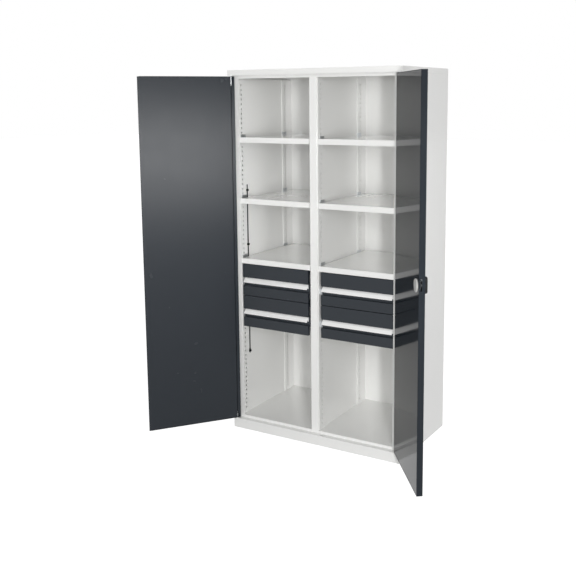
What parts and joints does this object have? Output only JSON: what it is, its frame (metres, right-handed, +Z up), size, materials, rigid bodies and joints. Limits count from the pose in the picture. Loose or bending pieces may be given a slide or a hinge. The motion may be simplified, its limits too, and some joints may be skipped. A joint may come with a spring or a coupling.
{
  "type": "tool cabinet",
  "caption": "Tall two-bay steel tool cabinet with wing doors, adjustable shelves, pull-out drawers and a turning-grip lock.",
  "frame": {"origin": "on the floor under the middle of the body, doors left out", "axes": "+Z up, the front with the doors faces -Y, +X is to the right seen from the front"},
  "size_m": [1.5675, 0.9768, 1.95],
  "materials": {
    "body_grey": "light grey powder coat",
    "door_grey": "anthracite powder coat, half gloss",
    "rail_aluminium": "natural anodised",
    "zinc_steel": "bright zinc plated",
    "dark_steel": "black oxide on steel",
    "black_plastic": "fine texture",
    "white_plastic": "smooth",
    "nickel": "nickel plated"
  },
  "bodies": {
    "carcass": {"plinth": "body_grey", "floor_panel": "body_grey", "side_panel_left": "body_grey", "side_panel_right": "body_grey", "top_cover": "body_grey", "lintel": "body_grey", "back_panel": "body_grey", "centre_post": "body_grey", "centre_partition": "body_grey", "front_uprights": "body_grey", "rear_uprights": "body_grey", "shelf_left_upper": "body_grey", "shelf_left_middle": "body_grey", "shelf_left_lower": "body_grey", "shelf_right_upper": "body_grey", "shelf_right_middle": "body_grey", "shelf_right_lower": "body_grey", "shelf_clips": "zinc_steel", "hinge_bushes": "zinc_steel", "interlock_guides": "black_plastic", "slide_outer_members": "zinc_steel"},
    "left_door": {"left_door_pan": "door_grey", "left_door_inner_panel": "door_grey", "left_door_hinge_bolts": "zinc_steel", "door_overlap_strip": "door_grey"},
    "right_door": {"right_door_pan": "door_grey", "right_door_inner_panel": "door_grey", "right_door_hinge_bolts": "zinc_steel", "lock_case": "zinc_steel", "rod_guides": "zinc_steel", "lock_rosette": "black_plastic", "lock_inner_cover": "white_plastic"},
    "handle": {"lock_handle": "black_plastic", "lock_cylinder": "nickel", "lock_cam": "zinc_steel"},
    "upper_rod": {"upper_locking_rod": "zinc_steel"},
    "lower_rod": {"lower_locking_rod": "zinc_steel"},
    "latch": {"latch_bolt": "dark_steel"},
    "interlock_left": {"interlock_rod_left": "dark_steel"},
    "interlock_right": {"interlock_rod_right": "dark_steel"},
    "drawer_left_upper": {"drawer_tray_left_upper": "body_grey", "drawer_front_left_upper": "door_grey", "grip_rail_left_upper": "rail_aluminium", "slide_inner_left_upper": "zinc_steel"},
    "slides_left_upper": {"slide_middle_left_upper": "zinc_steel"},
    "drawer_left_lower": {"drawer_tray_left_lower": "body_grey", "drawer_front_left_lower": "door_grey", "grip_rail_left_lower": "rail_aluminium", "slide_inner_left_lower": "zinc_steel"},
    "slides_left_lower": {"slide_middle_left_lower": "zinc_steel"},
    "drawer_right_upper": {"drawer_tray_right_upper": "body_grey", "drawer_front_right_upper": "door_grey", "grip_rail_right_upper": "rail_aluminium", "slide_inner_right_upper": "zinc_steel"},
    "slides_right_upper": {"slide_middle_right_upper": "zinc_steel"},
    "drawer_right_lower": {"drawer_tray_right_lower": "body_grey", "drawer_front_right_lower": "door_grey", "grip_rail_right_lower": "rail_aluminium", "slide_inner_right_lower": "zinc_steel"},
    "slides_right_lower": {"slide_middle_right_lower": "zinc_steel"}
  },
  "joints": [
    {"name": "left_door_hinge", "type": "hinge", "parent": "carcass", "child": "left_door", "pos_m": [-0.4845, -0.2795, 0], "axis": [0, 0, -1], "range_deg": [-127, 53]},
    {"name": "right_door_hinge", "type": "hinge", "parent": "carcass", "child": "right_door", "pos_m": [0.4845, -0.2795, 0], "axis": [0, 0, 1], "range_deg": [-127, 53]},
    {"name": "handle_turn", "type": "hinge", "parent": "right_door", "child": "handle", "pos_m": [0.74509, -0.62531, 1], "axis": [0.7986, 0.6018, 0], "range_deg": [0, 90]},
    {"name": "upper_rod_slide", "type": "slide", "parent": "right_door", "child": "upper_rod", "axis": [0, 0, 1], "range_m": [0, 0.01414]},
    {"name": "lower_rod_slide", "type": "slide", "parent": "right_door", "child": "lower_rod", "axis": [0, 0, -1], "range_m": [0, 0.01414]},
    {"name": "latch_slide", "type": "slide", "parent": "right_door", "child": "latch", "axis": [0.6018, -0.7986, 0], "range_m": [0, 0.01414]},
    {"name": "drawer_left_upper_slide", "type": "slide", "parent": "carcass", "child": "drawer_left_upper", "axis": [0, -1, 0], "range_m": [0, 0.475]},
    {"name": "slides_left_upper_slide", "type": "slide", "parent": "carcass", "child": "slides_left_upper", "axis": [0, -1, 0], "range_m": [0, 0.2375]},
    {"name": "drawer_left_lower_slide", "type": "slide", "parent": "carcass", "child": "drawer_left_lower", "axis": [0, -1, 0], "range_m": [0, 0.475]},
    {"name": "slides_left_lower_slide", "type": "slide", "parent": "carcass", "child": "slides_left_lower", "axis": [0, -1, 0], "range_m": [0, 0.2375]},
    {"name": "drawer_right_upper_slide", "type": "slide", "parent": "carcass", "child": "drawer_right_upper", "axis": [0, -1, 0], "range_m": [0, 0.475]},
    {"name": "slides_right_upper_slide", "type": "slide", "parent": "carcass", "child": "slides_right_upper", "axis": [0, -1, 0], "range_m": [0, 0.2375]},
    {"name": "drawer_right_lower_slide", "type": "slide", "parent": "carcass", "child": "drawer_right_lower", "axis": [0, -1, 0], "range_m": [0, 0.475]},
    {"name": "slides_right_lower_slide", "type": "slide", "parent": "carcass", "child": "slides_right_lower", "axis": [0, -1, 0], "range_m": [0, 0.2375]},
    {"name": "interlock_left_lift", "type": "slide", "parent": "carcass", "child": "interlock_left", "axis": [0, 0, 1], "range_m": [0, 0.008]},
    {"name": "interlock_right_lift", "type": "slide", "parent": "carcass", "child": "interlock_right", "axis": [0, 0, 1], "range_m": [0, 0.008]}
  ],
  "couplings": [
    {"joint": "handle_turn", "follows": "upper_rod_slide", "rad_per_m": 111.07},
    {"joint": "lower_rod_slide", "follows": "upper_rod_slide", "ratio": 1},
    {"joint": "latch_slide", "follows": "upper_rod_slide", "ratio": 1},
    {"joint": "slides_left_upper_slide", "follows": "drawer_left_upper_slide", "ratio": 0.5},
    {"joint": "slides_left_lower_slide", "follows": "drawer_left_lower_slide", "ratio": 0.5},
    {"joint": "slides_right_upper_slide", "follows": "drawer_right_upper_slide", "ratio": 0.5},
    {"joint": "slides_right_lower_slide", "follows": "drawer_right_lower_slide", "ratio": 0.5}
  ]
}
